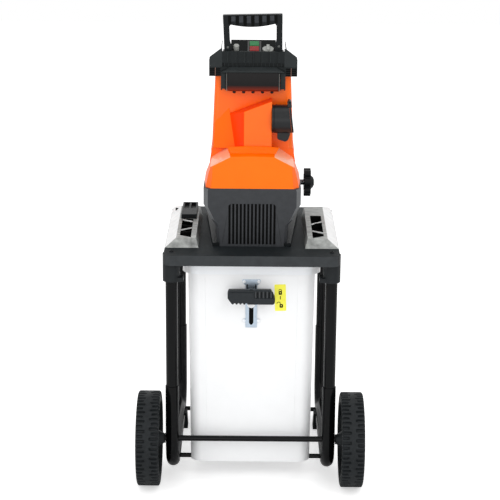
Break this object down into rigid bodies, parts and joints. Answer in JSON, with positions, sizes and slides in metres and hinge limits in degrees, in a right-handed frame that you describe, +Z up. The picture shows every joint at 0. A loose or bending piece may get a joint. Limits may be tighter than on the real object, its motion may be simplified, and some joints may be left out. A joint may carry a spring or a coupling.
{
  "type": "garden shredder",
  "caption": "Electric garden shredder on a wheeled tube stand, with a feed chute and geared crushing drum over a slide-out collection box held by a lock handle.",
  "frame": {"origin": "on the floor under the middle of the outer box", "axes": "+Z up, +X to the right as seen from the motor side, +Y to the rear, so the wheels, the motor hood and the box lock face -Y"},
  "size_m": [0.472, 0.53, 0.979],
  "materials": {
    "tube_black": "gloss black powder coat",
    "wheel_black": "moulded black tread",
    "trim_black": "fine grained black",
    "chassis_black": "grained black",
    "zinc": "bright zinc plate",
    "rail_grey": "mottled light grey",
    "box_white": "milky white",
    "label_yellow": "printed yellow film",
    "orange": "moulded orange, satin gloss",
    "hood_grey": "dark grey, finely grained",
    "gloss_black": "polished black",
    "panel_grey": "dark grey",
    "green": "moulded green",
    "red": "moulded red",
    "silver_grey": "silver grey",
    "brass": "plain brass",
    "steel": "machined steel",
    "cast_alloy": "die-cast alloy",
    "winding": "lacquered copper winding",
    "fan_black": "black"
  },
  "bodies": {
    "base": {"left_lower_frame": "tube_black", "right_lower_frame": "tube_black", "left_front_leg": "tube_black", "right_front_leg": "tube_black", "left_rear_leg": "tube_black", "right_rear_leg": "tube_black", "front_cross_bar": "tube_black", "rear_cross_bar": "tube_black", "wheel_axle": "tube_black", "left_foot": "trim_black", "right_foot": "trim_black", "tool_clip": "trim_black", "carry_handle": "trim_black", "inlet_socket": "trim_black", "chassis": "chassis_black", "axle_washers": "zinc", "case_screws": "zinc", "flap_pin": "zinc", "left_side_rail": "rail_grey", "right_side_rail": "rail_grey", "motor_hood": "orange", "main_housing": "orange", "feed_chute": "orange", "cable_duct": "orange", "vent_cover": "hood_grey", "hopper_head": "hood_grey", "front_cover": "gloss_black", "switch_frame": "gloss_black", "control_panel": "panel_grey", "interlock_switch": "panel_grey", "inlet_pins": "brass", "shaft_bearings": "steel", "crusher_housing": "cast_alloy", "motor_housing": "cast_alloy", "motor_end_cap": "cast_alloy", "stator": "winding"},
    "left_wheel": {"left_wheel": "wheel_black", "left_hub_cap": "trim_black"},
    "right_wheel": {"right_wheel": "wheel_black", "right_hub_cap": "trim_black"},
    "box": {"collection_box": "box_white", "lock_bracket": "zinc", "lock_screws": "zinc", "lock_label": "label_yellow"},
    "lock": {"lock_handle": "trim_black", "lock_tongue": "zinc"},
    "on_button": {"on_button": "green"},
    "off_button": {"off_button": "red"},
    "reset_button": {"reset_button": "silver_grey"},
    "direction_knob": {"direction_knob": "silver_grey"},
    "flap": {"inlet_flap": "trim_black"},
    "plate": {"pressure_plate": "steel"},
    "adjuster": {"adjuster_knob": "trim_black", "adjuster_screw": "steel"},
    "drum": {"crushing_drum": "steel", "drum_shaft": "steel", "output_gear": "steel"},
    "intermediate": {"intermediate_gear": "steel"},
    "rotor": {"rotor": "steel", "cooling_fan": "fan_black"}
  },
  "joints": [
    {"name": "left_wheel_spin", "type": "hinge", "parent": "base", "child": "left_wheel", "pos_m": [-0.2125, -0.165, 0.1], "axis": [1, 0, 0], "continuous": true},
    {"name": "right_wheel_spin", "type": "hinge", "parent": "base", "child": "right_wheel", "pos_m": [0.2125, -0.165, 0.1], "axis": [1, 0, 0], "continuous": true},
    {"name": "box_slide", "type": "slide", "parent": "base", "child": "box", "axis": [0, 1, 0], "range_m": [0, 0.42]},
    {"name": "lock_slide", "type": "slide", "parent": "box", "child": "lock", "axis": [0, 0, 1], "range_m": [-0.036, 0]},
    {"name": "on_press", "type": "slide", "parent": "base", "child": "on_button", "axis": [0, 0.3363, -0.9417], "range_m": [0, 0.0025], "stiffness_N_per_m": 400},
    {"name": "off_press", "type": "slide", "parent": "base", "child": "off_button", "axis": [0, 0.3363, -0.9417], "range_m": [0, 0.0025], "stiffness_N_per_m": 400},
    {"name": "reset_press", "type": "slide", "parent": "base", "child": "reset_button", "axis": [0, 0.3363, -0.9417], "range_m": [0, 0.0025], "stiffness_N_per_m": 400},
    {"name": "direction_turn", "type": "hinge", "parent": "base", "child": "direction_knob", "pos_m": [0.03, -0.04382, 0.90371], "axis": [0, -0.3363, 0.9417], "range_deg": [-45, 45]},
    {"name": "flap_swing", "type": "hinge", "parent": "base", "child": "flap", "pos_m": [0.07455, -0.08, 0.80424], "axis": [0, -1, 0], "range_deg": [0, 100], "stiffness_Nm_per_rad": 0.008, "springref_deg": -17.19},
    {"name": "plate_slide", "type": "slide", "parent": "base", "child": "plate", "axis": [-1, 0, 0], "range_m": [0, 0.003]},
    {"name": "adjuster_turn", "type": "hinge", "parent": "plate", "child": "adjuster", "pos_m": [0.112, 0.09, 0.596], "axis": [-1, 0, 0], "range_deg": [0, 720]},
    {"name": "drum_spin", "type": "hinge", "parent": "base", "child": "drum", "pos_m": [-0.014, 0.09, 0.59], "axis": [0, 1, 0], "continuous": true},
    {"name": "intermediate_spin", "type": "hinge", "parent": "base", "child": "intermediate", "pos_m": [0.045, 0.01, 0.57909], "axis": [0, 1, 0], "continuous": true},
    {"name": "rotor_spin", "type": "hinge", "parent": "base", "child": "rotor", "pos_m": [0, -0.03, 0.579], "axis": [0, 1, 0], "continuous": true}
  ],
  "couplings": [
    {"joint": "adjuster_turn", "follows": "plate_slide", "rad_per_m": 4188.8},
    {"joint": "intermediate_spin", "follows": "drum_spin", "ratio": -3},
    {"joint": "rotor_spin", "follows": "drum_spin", "ratio": 12}
  ]
}
